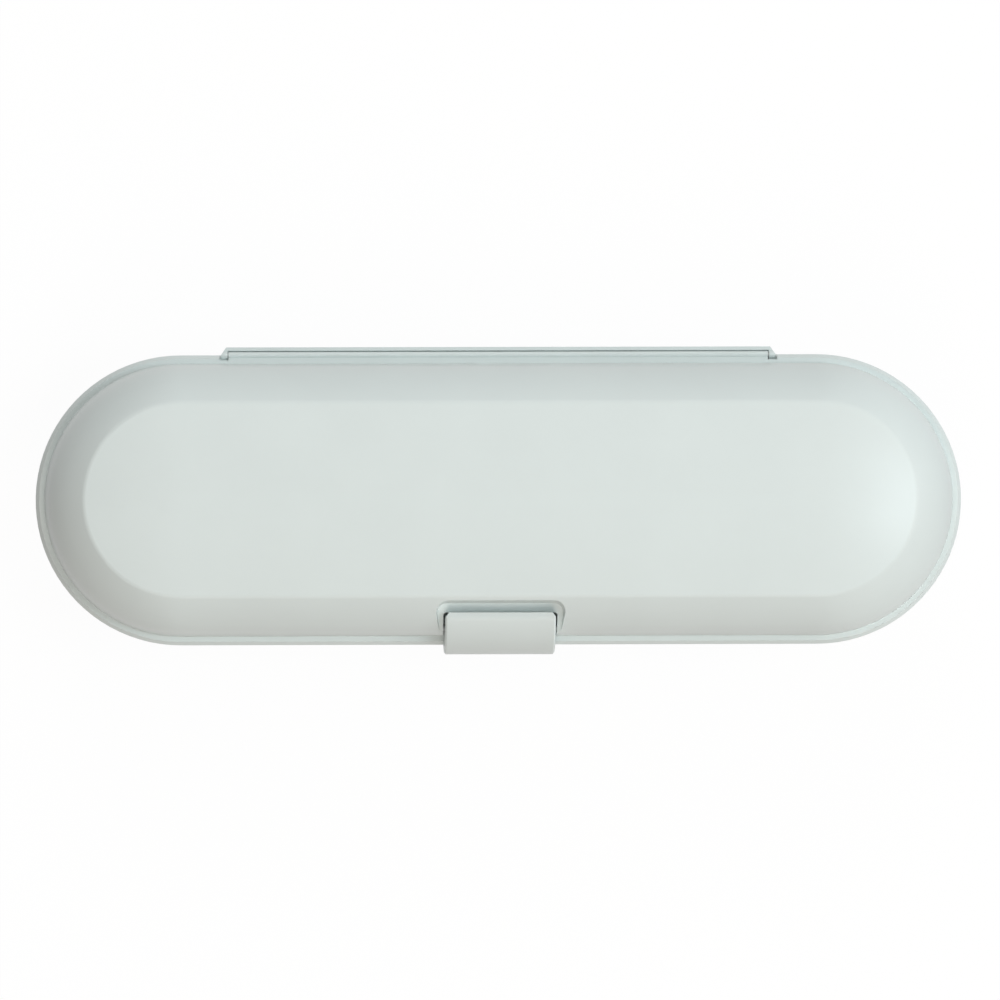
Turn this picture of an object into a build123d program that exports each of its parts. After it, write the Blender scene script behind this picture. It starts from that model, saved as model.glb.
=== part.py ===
from build123d import *
import os
from math import atan, degrees, radians, sqrt, tan

# Travel case for an electric toothbrush: a stadium-shaped box of two moulded shells on a rod hinge, closed by a
# rocker clasp, with an inner tray that cradles the handle and two brush heads.
# Frame: origin in the middle of the flat bottom, X along the case, +Y towards the hinge, +Z up. Millimetres.

# ---------------------------------------------------------------- driving dimensions

# Plan and heights
case_length = 215.0          # over both round ends, at the rims
case_width = 67.3            # over both long rims
case_height = 45.0           # flat bottom to the crest of the lid
base_height = 25.0           # flat bottom to the base's rim
parting_gap = 0.1            # between the two closed rims

# Shells
wall = 1.8
ledge_width = 2.0            # step of each rim beyond its wall
ledge_height = 1.8           # thickness of each rim
ledge_bevel = 0.5            # lower outer edge of the base's step
lid_ledge_bevel = (0.8, 1.2) # upper outer edge of the lid's step: across, down
lid_riser = 0.4              # upright foot of the lid's wall, next to its rim
base_riser = 2.6             # upright head of the base's wall, next to its rim
panel_inset = 11.1           # edge of the lid's top panel, in from the outline
panel_crown = 2.0            # rise of the top panel from its edge to its middle
panel_round = 2.5            # softened crease round the top panel
foot_inset = 10.2            # edge of the flat bottom, in from the outline
foot_bevel = 1.0
lid_bend = (0.912, 0.565)    # first of the lid wall's two arcs: radius and sweep, as shares of one arc's
base_bend = (1.10, 0.507)    # and the same for the base's wall

# Locating tongue on the base's rim, inside the lid's rim
tongue_width = 1.1
tongue_height = 1.3
tongue_gap = 0.25

# Rod hinge along the back
hinge_length = 129.0         # rail over its two ears
hinge_setback = 0.05         # hinge line, in from the outline
barrel_radius = 0.8
barrel_gap = 0.3             # round the lid's barrel in the rail
rod_radius = 0.4
rod_running_gap = 0.05       # radial, in the lid's barrel
rod_seat_gap = 0.01          # radial, in the base's ears
rod_recess = 0.3             # rod ends inside the ears' outer faces
ear_thickness = 1.6
ear_gap = 0.2                # end play of the barrel
rail_wall = 0.8              # rail behind the barrel
rail_drop = 0.1              # rail top under the hinge line
rail_face = 1.5              # height of the rail's upright back
rail_foot = 4.2              # rail's foot on the wall, under the rim's top
rail_corner_along = 1.3      # cut corners of the rail, along the case
rail_corner_across = 1.85    # and across it
web_thickness = 0.5          # from the barrel to the lid's rim
rim_cutback = 1.2            # lid's rim along the hinge, in from the outline

# Clasp pocket in the lid's front: a well for the clasp's cheeks, and round it a recess that follows the clasp's skin.
# Widths, insets and corners are those at the height of the well's floor.
pocket_floor = 4.4           # well's floor over the base's rim
well_half_width = 13.1
well_inset = 7.3             # well's back, in from the outline
well_corner = 0.6            # round inner corners
well_draft = 1.0             # degrees, opening upwards
recess_depth = 2.9           # under the clasp's skin
recess_half_width = 13.5
recess_inset = 8.4
recess_corner = 1.2
recess_draft = 8.0
pocket_wall = 2.0

# Rocker clasp
clasp_width = 25.6
clasp_reach = 2.25           # crest of the clasp beyond the outline
clasp_crest = 0.5            # height of that crest over the base's rim
clasp_tail_inset = 7.5       # tail edge, in from the outline
clasp_tail_height = 15.2     # tail edge over the base's rim
clasp_tail_bevel = 1.4
clasp_tail_bevel_drop = 0.6
clasp_tail_thickness = 1.0   # under the bevel
clasp_tail_root = 0.5        # and how much lower it meets the cheeks
clasp_corner_along = 0.8     # cut corners of the tail, along the case
clasp_corner_across = 1.1    # and across it
clasp_lip_drop = 8.2         # lower lip under the base's rim
clasp_lip_inset = 0.3        # outside of the lower lip, in from the outline
clasp_lip_thickness = 1.5
clasp_skin = 1.9
clasp_cheek = 2.2            # side walls that carry the pin
clasp_edge_bevel = 0.4
clasp_gap = 0.3              # clasp to rims and under the base's rim
hook_grip = 1.3              # hook's reach under the base's rim
hook_thickness = 1.3
pivot_inset = 3.95           # clasp pin, in from the outline
pivot_height = 6.9           # clasp pin over the base's rim
clasp_boss_radius = 2.1
clasp_pin_radius = 0.8
clasp_pin_running_gap = 0.05
clasp_pin_seat_gap = 0.01
clasp_pin_grip = 1.5         # length of pin held in each side of the pocket

# Inner tray
tray_skin = 1.5
tray_gap = 0.35              # tray edge to the base's wall
deck_drop = 1.6              # tray's deck under the base's rim
deck_bevel = 0.5
handle_radius = 15.0         # trough for the brush's handle
handle_side = 3.5            # its skin, in from the deck's long edge
handle_tail_inset = 12.5     # its tail, in from the outline
handle_tail_bevel = 10.0
handle_taper = 14.0          # length over which it narrows to the neck
neck_radius = 7.5
neck_length = 27.0
neck_end_inset = 13.5        # end of the neck, in from the outline
head_radius = 8.0            # troughs for two brush heads
head_neck_radius = 6.5
head_side = 2.5              # their skin, in from the deck's other long edge
head_well_gap = 3.5          # their inner ends, off the thumb well
head_end_inset = 25.0        # their outer ends, in from the outline
head_pocket_length = 20.0    # wide part for the bristles
head_shoulder = 5.0          # length over which it widens to that
head_depth = 14.0            # under the deck
thumb_half_width = 6.5       # thumb well beside the handle
thumb_depth = 11.0
thumb_round = 3.0
foot_rib_thickness = 2.0     # tray's feet on the base's floor
foot_rib_half_width = 11.0
foot_rib_places = (23.0, 71.0, 119.0)  # along the handle's trough, from its tail
neck_foot_inset = 11.0       # and one under the neck, in from its end

# Square posts of the base in sleeves of the tray
post_width = 5.0
post_height = 13.0
post_inset = 17.0            # in from the outline's ends
post_y = -10.0
sleeve_wall = 1.5
sleeve_length = 12.0
sleeve_gap = 0.01

# Ribs of the lid over the handle
hold_rib_xs = (-52.0, 30.0)
hold_rib_thickness = 1.6
hold_rib_half_width = 12.5
hold_rib_gap = 0.6           # rib to the handle

# ---------------------------------------------------------------- derived places

straight = case_length - case_width
rim_r = case_width / 2
wall_r = rim_r - ledge_width
inner_r = wall_r - wall

base_ledge_z = base_height - ledge_height
lid_z = base_height + parting_gap
lid_ledge_z = lid_z + ledge_height
panel_r = rim_r - panel_inset
panel_z = case_height - panel_crown
foot_r = rim_r - foot_inset

tongue_r = inner_r + tongue_width
groove_r = tongue_r + tongue_gap
groove_z = base_height + tongue_height + tongue_gap

hinge_y = rim_r - hinge_setback
hinge_z = base_height
trough_r = barrel_radius + barrel_gap
rail_y = hinge_y + trough_r + rail_wall
rail_z = hinge_z - rail_drop
ear_inner_x = hinge_length / 2 - ear_thickness
barrel_half = ear_inner_x - ear_gap

pocket_z = base_height + pocket_floor
pivot_y = pivot_inset - rim_r
pivot_z = base_height + pivot_height
well_half_at_pivot = well_half_width + (pivot_z - pocket_z) * tan(radians(well_draft))

deck_z = base_height - deck_drop
handle_z = wall + tray_skin + handle_radius
head_z = deck_z - head_depth + head_radius
thumb_z = deck_z - thumb_depth
deck_r = inner_r - tray_gap

handle_y = deck_r - handle_side - tray_skin - handle_radius
handle_tail_x = handle_tail_inset - case_length / 2
handle_tip_x = case_length / 2 - neck_end_inset
neck_start_x = handle_tip_x - neck_length
handle_body_end_x = neck_start_x - handle_taper
head_y = head_radius + tray_skin + head_side - deck_r
head_start_x = thumb_half_width + head_well_gap
head_end_x = case_length / 2 - head_end_inset
head_pocket_x = head_end_x - head_pocket_length
head_neck_x = head_pocket_x - head_shoulder
post_x = case_length / 2 - post_inset
sleeve_width = post_width + 2 * (sleeve_gap + sleeve_wall)

far = 2 * case_length


# ---------------------------------------------------------------- wall curves

def arc_centre(start, inward, end):
    """Centre of the arc that leaves start square to the unit vector inward and ends at end."""
    chord = end - start
    return start + inward * (chord.dot(chord) / (2 * chord.dot(inward)))


def bent_wall(foot, end, bend):
    """A wall in two arcs that leaves foot upright: the place where they join, and the centre of each."""
    across = foot.X - end.X
    up = end.Y - foot.Y
    tightness, share = bend
    radius = tightness * (across * across + up * up) / (2 * across)
    sweep = share * 2 * degrees(atan(across / up))
    first_centre = foot - Vector(radius, 0)
    join = first_centre + Vector(radius, 0).rotate(Axis.Z, sweep)
    return join, first_centre, arc_centre(join, (first_centre - join).normalized(), end)


def towards(point, centre, depth):
    """The point moved by depth towards the centre."""
    return point + (centre - point).normalized() * depth


lid_riser_top = Vector(wall_r, lid_ledge_z + lid_riser)
lid_crease = Vector(panel_r, panel_z)
lid_join, lid_low_centre, lid_high_centre = bent_wall(lid_riser_top, lid_crease, lid_bend)

base_riser_foot = Vector(wall_r, base_ledge_z - base_riser)
base_heel = Vector(foot_r, 0)
base_join, base_high_centre, base_low_centre = bent_wall(base_riser_foot, base_heel, base_bend)
base_inner_arc = (base_heel - base_low_centre).length - wall
floor_r = base_low_centre.X + sqrt(base_inner_arc ** 2 - (base_low_centre.Y - wall) ** 2)

# the clasp's skin, with the distance out of the front across and the height up
crest = Vector(rim_r + clasp_reach, base_height + clasp_crest)
tail = Vector(rim_r - clasp_tail_inset, base_height + clasp_tail_height)
clasp_centre = arc_centre(crest, Vector(-1, 0), tail)
clasp_arc = crest.X - clasp_centre.X


def lid_outline(depth):
    """Close the lid's half-section, inset by depth from its outer face, down to the rim."""
    top = Vector(0, case_height - depth)
    riser_top = Vector(wall_r - depth, lid_riser_top.Y)
    join = towards(lid_join, lid_low_centre, depth)
    crease = towards(lid_crease, lid_high_centre, depth)
    with BuildLine() as outline:
        bend = TangentArc(riser_top, join, tangent=(0, 1))
        TangentArc(join, crease, tangent=bend % 1)
        TangentArc(top, crease, tangent=(1, 0))
        Polyline(top, (0, groove_z), (wall_r - depth, groove_z), riser_top)
    make_face(outline.edges())


# ---------------------------------------------------------------- half-sections (distance from the spine, height)
# Outside, the walls are curved; inside, flats follow their arcs.

with BuildSketch() as base_ring:
    with BuildLine():
        Line((0, 0), base_heel)
        base_bend = TangentArc(base_riser_foot, base_join, tangent=(0, -1))
        TangentArc(base_join, base_heel, tangent=base_bend % 1)
        Polyline(
            base_riser_foot,
            (wall_r, base_ledge_z),
            (rim_r, base_ledge_z),
            (rim_r, base_height),
            (tongue_r, base_height),
            (tongue_r, base_height + tongue_height),
            (inner_r, base_height + tongue_height),
            (inner_r, base_riser_foot.Y),
            towards(base_join, base_high_centre, wall),
            (floor_r, wall),
            (0, wall),
            (0, 0),
        )
    make_face()
    chamfer(base_ring.vertices().sort_by_distance((foot_r, 0, 0))[0], foot_bevel)
    chamfer(base_ring.vertices().sort_by_distance((rim_r, base_ledge_z, 0))[0], ledge_bevel)

with BuildSketch() as lid_ring:
    lid_outline(0)
    with BuildLine():
        Polyline(
            (0, lid_z),
            (rim_r, lid_z),
            (rim_r, lid_ledge_z - lid_ledge_bevel[1]),
            (rim_r - lid_ledge_bevel[0], lid_ledge_z),
            (0, lid_ledge_z),
            close=True,
        )
    make_face()
    fillet(lid_ring.vertices().sort_by_distance((panel_r, panel_z, 0))[0], panel_round)
    with BuildSketch(mode=Mode.SUBTRACT):
        with BuildLine():
            Polyline(
                (0, 0),
                (groove_r, 0),
                (groove_r, groove_z),
                (inner_r, groove_z),
                (inner_r, lid_riser_top.Y),
                towards(lid_join, lid_low_centre, wall),
                towards(lid_crease, lid_high_centre, wall),
                (0, case_height - wall),
                close=True,
            )
        make_face()

with BuildSketch() as lid_core:
    lid_outline(wall / 2)


def run_along(section, half_length, mode=Mode.ADD):
    """Draw a half-section and its mirror image across the case and carry them along it."""
    with BuildSketch(Plane.YZ) as across:
        add(section)
        mirror(about=Plane.YZ)
    extrude(across.sketch, amount=half_length, both=True, mode=mode)


def run_round(section):
    """Carry a half-section round the whole plan: two straight sides and two half-turns."""
    run_along(section, straight / 2)
    for end in (-1, 1):
        centre = (end * straight / 2, 0, 0)
        with BuildSketch(Plane(centre, x_dir=(0, -end, 0), z_dir=(-end, 0, 0))) as start:
            add(section)
        revolve(start.sketch, Axis(centre, (0, 0, 1)), revolution_arc=180)


def rod(radius, half_length, y, z, mode=Mode.ADD):
    """A round bar along X."""
    with BuildSketch(Plane.YZ) as disc:
        with Locations((y, z)):
            Circle(radius)
    extrude(disc.sketch, amount=half_length, both=True, mode=mode)


# ---------------------------------------------------------------- hinge rail of the base

with BuildPart() as hinge_rail:
    with BuildSketch(Plane.YZ) as rail_section:
        with BuildLine():
            Polyline(
                (wall_r - wall / 2, rail_z),
                (rail_y, rail_z),
                (rail_y, rail_z - rail_face),
                (wall_r - wall / 2, base_height - rail_foot),
                close=True,
            )
        make_face()
        with Locations((hinge_y, hinge_z)):
            Circle(barrel_radius)
    extrude(amount=hinge_length / 2, both=True)
    with BuildSketch(Plane.XY) as rail_plan:
        with BuildLine():
            Polyline(
                (-hinge_length / 2, 0),
                (hinge_length / 2, 0),
                (hinge_length / 2, rail_y - rail_corner_across),
                (hinge_length / 2 - rail_corner_along, rail_y),
                (rail_corner_along - hinge_length / 2, rail_y),
                (-hinge_length / 2, rail_y - rail_corner_across),
                close=True,
            )
        make_face()
    extrude(amount=case_height, mode=Mode.INTERSECT)

# ---------------------------------------------------------------- base shell

with BuildPart() as base_shell:
    run_round(base_ring.sketch)
    add(hinge_rail.part)
    rod(trough_r, ear_inner_x, hinge_y, hinge_z, Mode.SUBTRACT)
    rod(rod_radius + rod_seat_gap, far, hinge_y, hinge_z, Mode.SUBTRACT)
    with BuildSketch(Plane.XY.offset(wall / 2)) as posts:
        with Locations((-post_x, post_y), (post_x, post_y)):
            Rectangle(post_width, post_width)
    extrude(amount=wall / 2 + post_height)

base_shell.part.label = "base_shell"

# ---------------------------------------------------------------- lid shell

def pocket(skin):
    """The space of the well and its recess, each bigger by the skin."""
    with BuildPart() as space:
        for half_width, inset, corner, draft, lift in (
            (recess_half_width, recess_inset, recess_corner, recess_draft, True),
            (well_half_width, well_inset, well_corner, well_draft, False),
        ):
            with BuildSketch(Plane.XY.offset(pocket_z - skin)) as plan:
                with Locations((0, inset - rim_r + skin)):
                    Rectangle(2 * (half_width + skin), case_width, align=(Align.CENTER, Align.MAX))
                fillet(plan.vertices().group_by(Axis.Y)[-1], corner + skin)
            extrude(plan.sketch, amount=case_height, taper=-draft)
            if lift:
                rod(clasp_arc - recess_depth - skin, far, -clasp_centre.X, clasp_centre.Y, Mode.SUBTRACT)
    return space.part


with BuildPart() as pocket_housing:
    add(pocket(pocket_wall))
    run_along(lid_core.sketch, straight / 2, Mode.INTERSECT)

with BuildPart() as lid_shell:
    run_round(lid_ring.sketch)
    add(pocket_housing.part)
    add(pocket(0), mode=Mode.SUBTRACT)
    rod(clasp_pin_radius + clasp_pin_seat_gap, well_half_at_pivot + clasp_pin_grip + pocket_wall,
        pivot_y, pivot_z, Mode.SUBTRACT)
    for rib_x in hold_rib_xs:
        with BuildSketch(Plane.YZ.offset(rib_x - hold_rib_thickness / 2)) as hold_rib:
            add(lid_core.sketch)
            mirror(about=Plane.YZ)
            with Locations((handle_y, case_height)):
                Rectangle(2 * hold_rib_half_width, 2 * (case_height - groove_z), mode=Mode.INTERSECT)
            with Locations((handle_y, handle_z)):
                Circle(handle_radius + hold_rib_gap, mode=Mode.SUBTRACT)
        extrude(amount=hold_rib_thickness)
    # the rim steps back along the hinge
    with Locations((0, rim_r - rim_cutback, lid_z)):
        Box(
            hinge_length + 2 * barrel_gap, far, 2 * ledge_height,
            align=(Align.CENTER, Align.MIN, Align.CENTER), mode=Mode.SUBTRACT,
        )
    with Locations((0, hinge_y, lid_z)):
        Box(
            2 * barrel_half, hinge_y - rim_r + rim_cutback + wall / 2, web_thickness,
            align=(Align.CENTER, Align.MAX, Align.MIN),
        )
    rod(barrel_radius, barrel_half, hinge_y, hinge_z)
    rod(rod_radius + rod_running_gap, far, hinge_y, hinge_z, Mode.SUBTRACT)

lid_shell.part.label = "lid_shell"

# ---------------------------------------------------------------- hinge rod

with BuildPart() as hinge_rod:
    rod(rod_radius, hinge_length / 2 - rod_recess, hinge_y, hinge_z)

hinge_rod.part.label = "hinge_rod"

# ---------------------------------------------------------------- rocker clasp
# Its sections are drawn with the distance out of the front across and the height up.

clasp_plane = Plane((0, 0, 0), x_dir=(0, -1, 0), z_dir=(-1, 0, 0))
bevel_out = tail.X + clasp_tail_bevel
bevel_top = Vector(bevel_out, clasp_centre.Y + sqrt(clasp_arc ** 2 - (bevel_out - clasp_centre.X) ** 2))
bevel_foot = tail - Vector(0, clasp_tail_bevel_drop)
tail_foot = bevel_foot - Vector(0, clasp_tail_thickness)
lip_z = base_height - clasp_lip_drop
lip = Vector(rim_r - clasp_lip_inset, lip_z)
hook_z = base_ledge_z - clasp_gap
hook_tip = rim_r - hook_grip
rim_clear = rim_r + clasp_gap
above_rim_z = lid_ledge_z + clasp_gap
pivot_out = -pivot_y

with BuildPart() as clasp:
    with BuildSketch(clasp_plane) as clasp_section:
        with BuildLine():
            TangentArc(crest, bevel_top, tangent=(0, 1))
            TangentArc(crest, lip, tangent=(0, -1))
            Polyline(
                lip,
                (lip.X - clasp_lip_thickness, lip_z),
                (hook_tip, hook_z - hook_thickness),
                (hook_tip, hook_z),
                (rim_clear, hook_z),
                (rim_clear, above_rim_z),
                (pivot_out + clasp_boss_radius, pocket_z + clasp_gap),
                (pivot_out, pivot_z - clasp_boss_radius),
            )
            RadiusArc(
                (pivot_out, pivot_z - clasp_boss_radius),
                (pivot_out - clasp_boss_radius, pivot_z),
                clasp_boss_radius,
            )
            Polyline(
                (pivot_out - clasp_boss_radius, pivot_z),
                (pivot_out - clasp_boss_radius, tail_foot.Y - clasp_tail_root),
                tail_foot,
                bevel_foot,
                bevel_top,
            )
        make_face()
    extrude(amount=clasp_width / 2, both=True)
    # hollow between the two cheeks, behind the skin
    with BuildSketch(clasp_plane) as clasp_hollow:
        with Locations(clasp_centre):
            Circle(clasp_arc - clasp_skin)
        with Locations((clasp_centre.X, above_rim_z)):
            Rectangle(far, far, align=(Align.CENTER, Align.MIN), mode=Mode.INTERSECT)
    extrude(amount=clasp_width / 2 - clasp_cheek, both=True, mode=Mode.SUBTRACT)
    rod(clasp_pin_radius + clasp_pin_running_gap, clasp_width, pivot_y, pivot_z, Mode.SUBTRACT)
    arcs = clasp.edges().filter_by(GeomType.CIRCLE)
    skin_arcs = arcs.filter_by(lambda edge: edge.radius > clasp_skin + clasp_cheek)
    side_arcs = skin_arcs.filter_by(lambda edge: abs(edge.center().X) > clasp_width / 2 - clasp_cheek / 2)
    chamfer(side_arcs, clasp_edge_bevel)
    with BuildSketch(Plane.XY.offset(pivot_z)) as tail_corner:
        with BuildLine():
            Polyline(
                (clasp_width / 2, -tail.X),
                (clasp_width / 2 - clasp_corner_along, -tail.X),
                (clasp_width / 2, -tail.X - clasp_corner_across),
                close=True,
            )
        make_face()
        mirror(about=Plane.YZ)
    extrude(amount=case_height, mode=Mode.SUBTRACT)

clasp.part.label = "clasp"

# ---------------------------------------------------------------- clasp pin

with BuildPart() as clasp_pin:
    rod(clasp_pin_radius, well_half_at_pivot + clasp_pin_grip, pivot_y, pivot_z)

clasp_pin.part.label = "clasp_pin"

# ---------------------------------------------------------------- inner tray

with BuildSketch() as handle_plan:
    with BuildLine():
        Polyline(
            (handle_tail_x, 0),
            (handle_tail_x, handle_radius),
            (handle_body_end_x, handle_radius),
            (neck_start_x, neck_radius),
            (handle_tip_x, neck_radius),
            (handle_tip_x, 0),
            close=True,
        )
    make_face()
    chamfer(handle_plan.vertices().sort_by_distance((handle_tail_x, handle_radius, 0))[0], handle_tail_bevel)

with BuildSketch() as head_plan:
    with BuildLine():
        Polyline(
            (head_start_x, 0),
            (head_start_x, head_neck_radius),
            (head_neck_x, head_neck_radius),
            (head_pocket_x, head_radius),
            (head_end_x, head_radius),
            (head_end_x, 0),
            close=True,
        )
    make_face()


def trough(plan, skin, y, z, top, mode=Mode.ADD, flip=False):
    """Turn half a plan under its long axis and carry it straight up from there to the top."""
    with BuildSketch(Plane.XY.offset(z)) as half:
        with Locations((0, y)):
            add(plan)
        if flip:
            mirror(about=Plane.YZ, mode=Mode.REPLACE)
        if skin:
            offset(amount=skin, kind=Kind.INTERSECTION)
        with Locations((0, y)):
            Rectangle(far, far, align=(Align.CENTER, Align.MIN), mode=Mode.INTERSECT)
    revolve(half.sketch, Axis((0, y, z), (-1, 0, 0)), revolution_arc=180, mode=mode)
    with BuildSketch(Plane.XY.offset(z)) as whole:
        add(half.sketch_local)
        mirror(about=Plane.XZ.offset(-y))
    extrude(whole.sketch, amount=top - z, mode=mode)


def troughs(skin, top, mode=Mode.ADD):
    """The handle's trough and the two brush heads' troughs, each bigger than its space by the skin."""
    trough(handle_plan.sketch, skin, handle_y, handle_z, top, mode)
    trough(head_plan.sketch, skin, head_y, head_z, top, mode)
    trough(head_plan.sketch, skin, head_y, head_z, top, mode, flip=True)


def thumb_well(skin, top, mode=Mode.ADD):
    """The well between the two heads, open to the handle's side."""
    with BuildSketch(Plane.XY.offset(thumb_z - skin)) as well:
        with Locations((0, head_y - head_radius - skin)):
            Rectangle(
                2 * (thumb_half_width + skin), handle_y - head_y + head_radius + skin,
                align=(Align.CENTER, Align.MIN),
            )
        fillet(well.vertices().group_by(Axis.Y)[0], thumb_round + skin)
    extrude(well.sketch, amount=top - thumb_z + skin, mode=mode)


with BuildPart() as inner_tray:
    with BuildSketch(Plane.XY.offset(deck_z - tray_skin)):
        SlotOverall(straight + 2 * deck_r, 2 * deck_r)
    extrude(amount=tray_skin)
    chamfer(inner_tray.edges().group_by(Axis.Z)[-1], deck_bevel)
    troughs(tray_skin, deck_z - tray_skin / 2)
    thumb_well(tray_skin, deck_z - tray_skin / 2)
    # feet under the handle and the neck
    with BuildSketch(Plane.XY.offset(wall)):
        with Locations(*[(handle_tail_x + place, handle_y) for place in foot_rib_places]):
            Rectangle(foot_rib_thickness, 2 * foot_rib_half_width)
        with Locations((handle_tip_x - neck_foot_inset, handle_y)):
            Rectangle(foot_rib_thickness, 2 * neck_radius)
    extrude(amount=handle_z - neck_radius / 2 - wall)
    with BuildSketch(Plane.XY.offset(deck_z - tray_skin / 2)):
        with Locations((-post_x, post_y), (post_x, post_y)):
            Rectangle(sleeve_width, sleeve_width)
    extrude(amount=-sleeve_length)
    with BuildSketch(Plane.XY.offset(wall)):
        with Locations((-post_x, post_y), (post_x, post_y)):
            Rectangle(post_width + 2 * sleeve_gap, post_width + 2 * sleeve_gap)
    extrude(amount=post_height + sleeve_gap, mode=Mode.SUBTRACT)
    troughs(0, deck_z + tray_skin, Mode.SUBTRACT)
    thumb_well(0, deck_z + tray_skin, Mode.SUBTRACT)

inner_tray.part.label = "inner_tray"

# ---------------------------------------------------------------- export

os.makedirs("parts", exist_ok=True)
for piece in (base_shell, inner_tray, hinge_rod, lid_shell, clasp, clasp_pin):
    export_step(piece.part, f"parts/{piece.part.label}.step")
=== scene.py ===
"""Looks of a travel case for an electric toothbrush: finishes, soft edges, studio and camera.

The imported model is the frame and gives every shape. This script adds finishes, softens the moulded
edges and lights the case on a pale floor. Lengths are in metres unless a name says otherwise: +X
runs along the case, +Y points to the hinge and +Z up.
"""

import logging
from dataclasses import dataclass, field
from enum import Enum
from math import pi, radians, tan

import bpy
from mathutils import Matrix, Vector

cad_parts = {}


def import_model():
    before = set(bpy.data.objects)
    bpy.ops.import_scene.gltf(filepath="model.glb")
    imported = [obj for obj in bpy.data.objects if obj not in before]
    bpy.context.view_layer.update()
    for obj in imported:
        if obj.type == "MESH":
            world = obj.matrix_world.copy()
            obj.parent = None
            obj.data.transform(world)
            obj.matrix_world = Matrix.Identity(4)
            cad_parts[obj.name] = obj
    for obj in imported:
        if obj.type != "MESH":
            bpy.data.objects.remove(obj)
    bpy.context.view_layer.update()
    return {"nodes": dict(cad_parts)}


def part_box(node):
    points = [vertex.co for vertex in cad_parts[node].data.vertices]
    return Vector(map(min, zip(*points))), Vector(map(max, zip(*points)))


Colour = tuple[float, float, float]
WHITE = (1.0, 1.0, 1.0, 1.0)

LOG = logging.getLogger("travel_case")
MM = 0.001


# ---------------------------------------------------------------- finishes


class Space(Enum):
    """Which coordinates a texture follows."""

    PIECE = "Object"


class NodeTree:
    """A small wrapper that adds shader nodes and links them."""

    def __init__(self, tree: bpy.types.NodeTree) -> None:
        """Start from an emptied tree.

        Args:
            tree: node tree of a material or of the world.
        """
        self.tree = tree
        tree.nodes.clear()

    def add(self, kind: str, **settings: object) -> bpy.types.Node:
        """Add one node.

        Args:
            kind: Blender's name for the node type, without its ShaderNode prefix.
            **settings: properties of the node, or values of the inputs of that name.

        Returns:
            The new node.
        """
        node = self.tree.nodes.new("ShaderNode" + kind)
        for name, value in settings.items():
            if hasattr(node, name):
                setattr(node, name, value)
            else:
                node.inputs[name.replace("_", " ")].default_value = value
        return node

    def link(self, source: bpy.types.NodeSocket, target: bpy.types.NodeSocket) -> None:
        """Join an output to an input.

        Args:
            source: output of one node.
            target: input of another.
        """
        self.tree.links.new(source, target)


@dataclass(frozen=True)
class MouldedPlastic:
    """Injection-moulded plastic with a fine satin grain.

    Attributes:
        name: name of the material.
        colour: base colour, linear.
        roughness: middle roughness of the surface.
        grain: size of the spark-eroded grain.
        grain_height: depth of that grain.
        flow: length of the faint flow marks from moulding.
        flow_height: height of those marks.
        tint: how far the colour wanders from its middle, as a share.
        gloss_spread: how far the grain takes the roughness below and above its middle.
        refraction: index of refraction.
    """

    name: str
    colour: Colour
    roughness: float = 0.30
    grain: float = 0.22 * MM
    grain_height: float = 0.003 * MM
    flow: float = 22 * MM
    flow_height: float = 0.02 * MM
    tint: float = 0.012
    gloss_spread: tuple[float, float] = (0.03, 0.04)
    refraction: float = 1.46

    def material(self) -> bpy.types.Material:
        """Build the material.

        Returns:
            A node material with a wandering tint, uneven gloss, a fine grain and faint flow waves.
        """
        made = bpy.data.materials.new(self.name)
        made.use_nodes = True
        nodes = NodeTree(made.node_tree)
        place = nodes.add("TexCoord").outputs[Space.PIECE.value]

        clouds = nodes.add("TexNoise", Scale=1 / self.flow, Detail=3.0, Roughness=0.55)
        nodes.link(place, clouds.inputs["Vector"])
        tint = nodes.add("ValToRGB")
        tint.color_ramp.elements[0].position = 0.3
        tint.color_ramp.elements[1].position = 0.7
        tint.color_ramp.elements[0].color = self._shade(1 - self.tint)
        tint.color_ramp.elements[1].color = self._shade(1 + self.tint)
        nodes.link(clouds.outputs["Fac"], tint.inputs["Fac"])

        speckle = nodes.add("TexNoise", Scale=1 / self.grain, Detail=2.0, Roughness=0.6)
        nodes.link(place, speckle.inputs["Vector"])
        gloss = nodes.add("MapRange")
        gloss.inputs["From Min"].default_value = 0.25
        gloss.inputs["From Max"].default_value = 0.75
        below, above = self.gloss_spread
        gloss.inputs["To Min"].default_value = self.roughness - below
        gloss.inputs["To Max"].default_value = self.roughness + above
        nodes.link(speckle.outputs["Fac"], gloss.inputs["Value"])

        waves = nodes.add("Bump", Strength=1.0, Distance=self.flow_height)
        nodes.link(clouds.outputs["Fac"], waves.inputs["Height"])
        pits = nodes.add("Bump", Strength=1.0, Distance=self.grain_height)
        nodes.link(speckle.outputs["Fac"], pits.inputs["Height"])
        nodes.link(waves.outputs["Normal"], pits.inputs["Normal"])

        shader = nodes.add("BsdfPrincipled", IOR=self.refraction)
        nodes.link(tint.outputs["Color"], shader.inputs["Base Color"])
        nodes.link(gloss.outputs["Result"], shader.inputs["Roughness"])
        nodes.link(pits.outputs["Normal"], shader.inputs["Normal"])
        output = nodes.add("OutputMaterial")
        nodes.link(shader.outputs["BSDF"], output.inputs["Surface"])
        return made

    def _shade(self, share: float) -> tuple[float, float, float, float]:
        """Make the base colour lighter or darker.

        Args:
            share: factor for each channel.

        Returns:
            Red, green, blue and an alpha of 1.
        """
        red, green, blue = (min(1.0, channel * share) for channel in self.colour)
        return red, green, blue, 1.0


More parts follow.
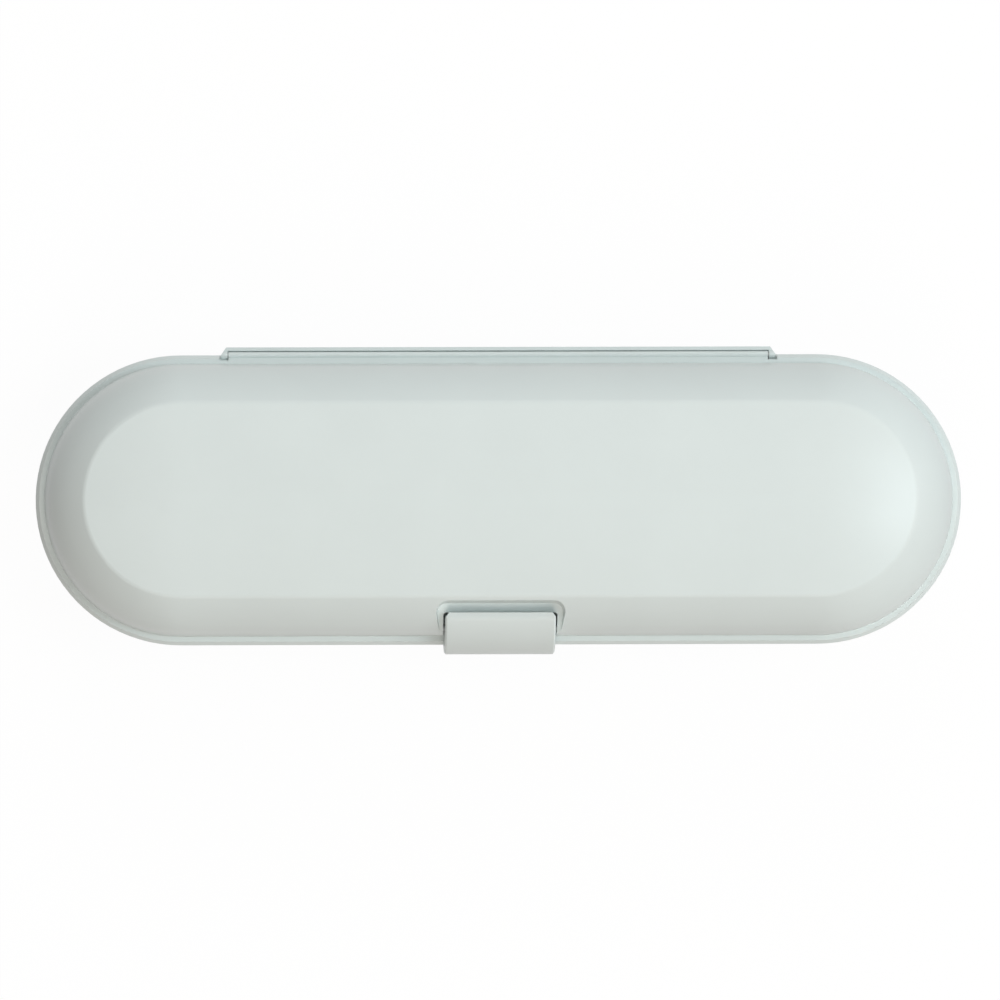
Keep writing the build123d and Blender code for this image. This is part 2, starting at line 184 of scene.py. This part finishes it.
@dataclass(frozen=True)
class DrawnSteel:
    """Steel wire with fine lines along X from drawing.

    Attributes:
        name: name of the material.
        colour: base colour, linear.
        roughness: middle roughness.
        line: width of a drawing line.
        line_height: depth of a drawing line.
        line_stretch: width of a drawing line as a share of its length.
        gloss_spread: how far the lines take the roughness below and above its middle.
    """

    name: str
    colour: Colour
    roughness: float = 0.40
    line: float = 0.08 * MM
    line_height: float = 0.002 * MM
    line_stretch: float = 0.02
    gloss_spread: tuple[float, float] = (0.08, 0.12)

    def material(self) -> bpy.types.Material:
        """Build the material.

        Returns:
            A node material with lines drawn out along the wire.
        """
        made = bpy.data.materials.new(self.name)
        made.use_nodes = True
        nodes = NodeTree(made.node_tree)
        stretch = nodes.add("Mapping")
        stretch.inputs["Scale"].default_value = (self.line_stretch, 1.0, 1.0)
        nodes.link(nodes.add("TexCoord").outputs[Space.PIECE.value], stretch.inputs["Vector"])
        lines = nodes.add("TexNoise", Scale=1 / self.line, Detail=4.0, Roughness=0.6)
        nodes.link(stretch.outputs["Vector"], lines.inputs["Vector"])
        gloss = nodes.add("MapRange")
        below, above = self.gloss_spread
        gloss.inputs["To Min"].default_value = self.roughness - below
        gloss.inputs["To Max"].default_value = self.roughness + above
        nodes.link(lines.outputs["Fac"], gloss.inputs["Value"])
        grooves = nodes.add("Bump", Strength=1.0, Distance=self.line_height)
        nodes.link(lines.outputs["Fac"], grooves.inputs["Height"])
        shader = nodes.add("BsdfPrincipled", Metallic=1.0, Base_Color=(*self.colour, 1.0))
        nodes.link(gloss.outputs["Result"], shader.inputs["Roughness"])
        nodes.link(grooves.outputs["Normal"], shader.inputs["Normal"])
        output = nodes.add("OutputMaterial")
        nodes.link(shader.outputs["BSDF"], output.inputs["Surface"])
        return made


# ---------------------------------------------------------------- sub-assemblies


@dataclass
class SoftEdges:
    """Softens the hard edges of a moulded piece as it is shown.

    Attributes:
        width: most width of a rounded edge; the piece's narrowest faces can make it less.
        corner_deg: edges that turn by more than this are rounded.
        steps: facets across each rounded edge.
        join: points closer together than this become one.
        flat_deg: faces that turn by less than this against each other become one.
    """

    width: float = 0.2 * MM
    corner_deg: float = 28.0
    steps: int = 2
    join: float = 0.0005 * MM
    flat_deg: float = 0.4

    def build(self, piece: bpy.types.Object) -> None:
        """Add the rounding to one piece.

        Args:
            piece: a CAD node, whose mesh stays as it is.
        """
        for face in piece.data.polygons:
            face.use_smooth = True
        weld = piece.modifiers.new("joined", "WELD")
        weld.merge_threshold = self.join
        flats = piece.modifiers.new("flats", "DECIMATE")
        flats.decimate_type = "DISSOLVE"
        flats.angle_limit = radians(self.flat_deg)
        bevel = piece.modifiers.new("soft_edges", "BEVEL")
        bevel.limit_method = "ANGLE"
        bevel.angle_limit = radians(self.corner_deg)
        bevel.width = self.width
        bevel.segments = self.steps
        bevel.use_clamp_overlap = True
        normals = piece.modifiers.new("even_shading", "WEIGHTED_NORMAL")
        normals.keep_sharp = False


@dataclass
class SubAssembly:
    """Pieces that share one finish.

    Attributes:
        finish: the finish of all of them.
        names: their names in the frame.
    """

    finish: MouldedPlastic | DrawnSteel
    names: tuple[str, ...]

    def build(self, nodes: dict[str, bpy.types.Object]) -> list[bpy.types.Object]:
        """Collect the pieces.

        Args:
            nodes: the CAD nodes by name.

        Returns:
            This sub-assembly's pieces.
        """
        return [nodes[name] for name in self.names]

    def dress(self, pieces: list[bpy.types.Object]) -> None:
        """Put the finish on the pieces.

        Args:
            pieces: what build() returned.
        """
        material = self.finish.material()
        for piece in pieces:
            piece.data.materials.clear()
            piece.data.materials.append(material)


@dataclass
class Moulding(SubAssembly):
    """A sub-assembly of moulded pieces with softened edges.

    Attributes:
        edges: how the edges are softened.
    """

    edges: SoftEdges = field(default_factory=SoftEdges)

    def build(self, nodes: dict[str, bpy.types.Object]) -> list[bpy.types.Object]:
        """Soften the edges of the pieces.

        Args:
            nodes: the CAD nodes by name.

        Returns:
            This sub-assembly's pieces.
        """
        pieces = super().build(nodes)
        for piece in pieces:
            self.edges.build(piece)
        return pieces


@dataclass
class Shells(Moulding):
    """The base and the lid, moulded in one satin plastic."""

    names: tuple[str, ...] = ("base_shell", "lid_shell")


@dataclass
class Tray(Moulding):
    """The inner tray, in a matt plastic of its own."""

    names: tuple[str, ...] = ("inner_tray",)


@dataclass
class Clasp(Moulding):
    """The rocker clasp at the front."""

    names: tuple[str, ...] = ("clasp",)


@dataclass
class Pins(SubAssembly):
    """The hinge's rod and the clasp's pin."""

    names: tuple[str, ...] = ("hinge_rod", "clasp_pin")


# ---------------------------------------------------------------- studio


@dataclass(frozen=True)
class Softbox:
    """A large square lamp that faces a place on the case.

    Attributes:
        name: name of the lamp.
        towards: direction from the case to the lamp.
        level: light it throws on a surface that faces it, where 1 shows a colour as written.
        tint: colour of that light.
        distance: how far away it stands.
        side: length of its sides.
        mirrored: shows in the case's reflections.
    """

    name: str
    towards: Vector
    level: float
    tint: Colour = (1.0, 1.0, 1.0)
    distance: float = 1.6
    side: float = 0.9
    mirrored: bool = True

    def build(self) -> None:
        """Hang the lamp."""
        lamp = bpy.data.lights.new(self.name, "AREA")
        lamp.shape = "SQUARE"
        lamp.size = self.side
        lamp.energy = self.level * (pi * self.distance) ** 2
        lamp.color = self.tint
        holder = bpy.data.objects.new(self.name, lamp)
        bpy.context.scene.collection.objects.link(holder)
        holder.visible_glossy = self.mirrored
        direction = self.towards.normalized()
        holder.location = direction * self.distance
        holder.rotation_euler = direction.to_track_quat("Z", "Y").to_euler()


@dataclass
class Studio:
    """Pale floor, a sky that fills the shade and softboxes.

    Attributes:
        lamps: the softboxes.
        sky: level of the even light from all round.
        sky_tint: colour of that light.
        floor_side: side of the square floor.
        floor_drop: gap between the floor and the underside of the case.
        floor_albedo: how much light the floor gives back to the case.
        floor_glow: share of the floor's white that the case's shadow leaves alone.
    """

    lamps: tuple[Softbox, ...]
    sky: float = 0.34
    sky_tint: Colour = (1.04, 1.0, 0.96)
    floor_side: float = 12.0
    floor_drop: float = 0.02 * MM
    floor_albedo: float = 0.15
    floor_glow: float = 0.955

    def build(self) -> None:
        """Set up the world, the floor and the lamps."""
        self._world()
        self._floor()
        for lamp in self.lamps:
            lamp.build()

    def _world(self) -> None:
        """White where the camera or a reflection sees it, and an even soft light elsewhere."""
        world = bpy.data.worlds.new("studio_air")
        world.use_nodes = True
        bpy.context.scene.world = world
        nodes = NodeTree(world.node_tree)
        air = nodes.add("Background", Strength=self.sky)
        air.inputs["Color"].default_value = (*self.sky_tint, 1.0)
        white = nodes.add("Background", Strength=1.0)
        white.inputs["Color"].default_value = WHITE
        choice = nodes.add("MixShader")
        nodes.link(self._seen(nodes), choice.inputs["Fac"])
        nodes.link(air.outputs["Background"], choice.inputs[1])
        nodes.link(white.outputs["Background"], choice.inputs[2])
        output = nodes.add("OutputWorld")
        nodes.link(choice.outputs["Shader"], output.inputs["Surface"])

    def _floor(self) -> None:
        """A wide pale sheet a hair under the case, clear when looked at from below."""
        half = self.floor_side / 2
        turns = ((-1, -1), (1, -1), (1, 1), (-1, 1))
        corners = [(x * half, y * half, -self.floor_drop) for x, y in turns]
        mesh = bpy.data.meshes.new("studio_floor")
        mesh.from_pydata(corners, [], [(0, 1, 2, 3)])
        mesh.materials.append(self._paper())
        floor = bpy.data.objects.new("studio_floor", mesh)
        bpy.context.scene.collection.objects.link(floor)

    def _paper(self) -> bpy.types.Material:
        """Build the floor's material.

        Returns:
            Near-white paper that keeps the case's shadow and gives little light back to the case.
        """
        material = bpy.data.materials.new("floor_paper")
        material.use_nodes = True
        nodes = NodeTree(material.node_tree)
        paper = nodes.add("BsdfDiffuse")
        paper.inputs["Color"].default_value = (self.floor_albedo,) * 3 + (1.0,)
        bright = nodes.add("BsdfDiffuse")
        bright.inputs["Color"].default_value = WHITE
        glow = nodes.add("Emission", Strength=1.0)
        shown = nodes.add("MixShader", Fac=self.floor_glow)
        nodes.link(bright.outputs["BSDF"], shown.inputs[1])
        nodes.link(glow.outputs["Emission"], shown.inputs[2])
        choice = nodes.add("MixShader")
        nodes.link(self._seen(nodes), choice.inputs["Fac"])
        nodes.link(paper.outputs["BSDF"], choice.inputs[1])
        nodes.link(shown.outputs["Shader"], choice.inputs[2])
        clear = nodes.add("BsdfTransparent")
        side = nodes.add("NewGeometry")
        sheet = nodes.add("MixShader")
        nodes.link(side.outputs["Backfacing"], sheet.inputs["Fac"])
        nodes.link(choice.outputs["Shader"], sheet.inputs[1])
        nodes.link(clear.outputs["BSDF"], sheet.inputs[2])
        output = nodes.add("OutputMaterial")
        nodes.link(sheet.outputs["Shader"], output.inputs["Surface"])
        return material

    @staticmethod
    def _seen(nodes: NodeTree) -> bpy.types.NodeSocket:
        """Ask whether a ray comes from the camera, a reflection or a refraction.

        Args:
            nodes: the tree that asks.

        Returns:
            A socket that gives 1 for those rays and 0 for the light that falls on the case.
        """
        path = nodes.add("LightPath")
        seen = path.outputs["Is Camera Ray"]
        for kind in ("Is Glossy Ray", "Is Transmission Ray"):
            either = nodes.add("Math", operation="MAXIMUM")
            nodes.link(seen, either.inputs[0])
            nodes.link(path.outputs[kind], either.inputs[1])
            seen = either.outputs["Value"]
        return seen


@dataclass
class Camera:
    """A long lens almost straight above the case.

    Attributes:
        distance: from the case's parting line to the camera.
        pixel: size of one picture point at the parting line.
        picture: picture points across the square frame.
        parting: height of the parting line.
        lean_left_deg: how far the camera stands from the vertical towards -X.
        lean_front_deg: and towards -Y.
        roll_deg: turn of the camera that lifts the picture's right side.
        aim: middle of the frame at the parting line.
        sensor_mm: width of the sensor, in millimetres.
    """

    distance: float = 3.5
    pixel: float = 0.2323 * MM
    picture: int = 1000
    parting: float = 25 * MM
    lean_left_deg: float = 1.66
    lean_front_deg: float = 0.5
    roll_deg: float = 0.13
    aim: tuple[float, float] = (0.31 * MM, -0.07 * MM)
    sensor_mm: float = 36.0

    def build(self) -> None:
        """Make the camera the scene's own."""
        data = bpy.data.cameras.new("overhead_camera")
        data.sensor_width = self.sensor_mm
        data.lens = data.sensor_width * self.distance / (self.picture * self.pixel)
        data.clip_start = 0.1
        data.clip_end = 50.0
        holder = bpy.data.objects.new("overhead_camera", data)
        bpy.context.scene.collection.objects.link(holder)
        target = Vector((*self.aim, self.parting))
        lean_x, lean_y = (-tan(radians(lean)) for lean in (self.lean_left_deg, self.lean_front_deg))
        back = Vector((lean_x, lean_y, 1.0)).normalized()
        side = Vector((1.0, 0.0, 0.0))
        up = back.cross(side).normalized()
        right = up.cross(back)
        facing = Matrix((right, up, back)).transposed().to_4x4()
        turn = Matrix.Rotation(-radians(self.roll_deg), 4, "Z")
        holder.matrix_world = Matrix.Translation(target + back * self.distance) @ facing @ turn
        bpy.context.scene.camera = holder


# ---------------------------------------------------------------- the whole scene


def report(pieces: list[bpy.types.Object]) -> None:
    """Log each piece with its size in millimetres.

    Args:
        pieces: pieces of the case.
    """
    for piece in pieces:
        low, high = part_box(piece.name)
        extent = (high - low) / MM
        LOG.info("%s %.1f x %.1f x %.1f mm", piece.name, *extent)


def main() -> None:
    """Build the scene."""
    logging.basicConfig(level=logging.INFO, format="%(name)s: %(message)s")
    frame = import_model()

    pale_shell = MouldedPlastic("satin_shell_plastic", (0.68, 0.745, 0.735))
    pale_tray = MouldedPlastic(
        "matt_tray_plastic", (0.70, 0.735, 0.72), roughness=0.55, grain=0.4 * MM
    )
    clasp_grey = MouldedPlastic("satin_clasp_plastic", (0.675, 0.74, 0.73), roughness=0.34)
    # Painted shade: the pins' steel is darker than their own steel, so that their ends don't glint
    # beside the clasp.
    steel_darkened_as_shade = DrawnSteel("drawn_steel_darkened_as_shade", (0.42, 0.42, 0.415))

    assemblies = (
        Shells(pale_shell),
        Tray(pale_tray, edges=SoftEdges(width=0.3 * MM)),
        Clasp(clasp_grey),
        Pins(steel_darkened_as_shade),
    )
    for assembly in assemblies:
        pieces = assembly.build(frame["nodes"])
        assembly.dress(pieces)
        report(pieces)

    cool, warm = (0.86, 1.0, 1.06), (1.12, 1.0, 0.91)
    highlight, key = Vector((0.43, 0.0, 0.9)), Vector((0.87, 0.0, 0.5))
    back, front = Vector((0.0, 0.9, 0.42)), Vector((0.0, -0.72, 0.69))
    lamps = (
        Softbox("highlight_softbox", highlight, level=0.185, tint=cool, side=0.5),
        Softbox("key_softbox", key, level=0.34, mirrored=False),
        Softbox("back_softbox", back, level=0.365, mirrored=False),
        Softbox("front_softbox", front, level=0.3, tint=warm, mirrored=False),
    )
    Studio(lamps).build()
    Camera().build()
    bpy.context.scene.view_settings.view_transform = "Standard"


if __name__ == "__main__":
    main()
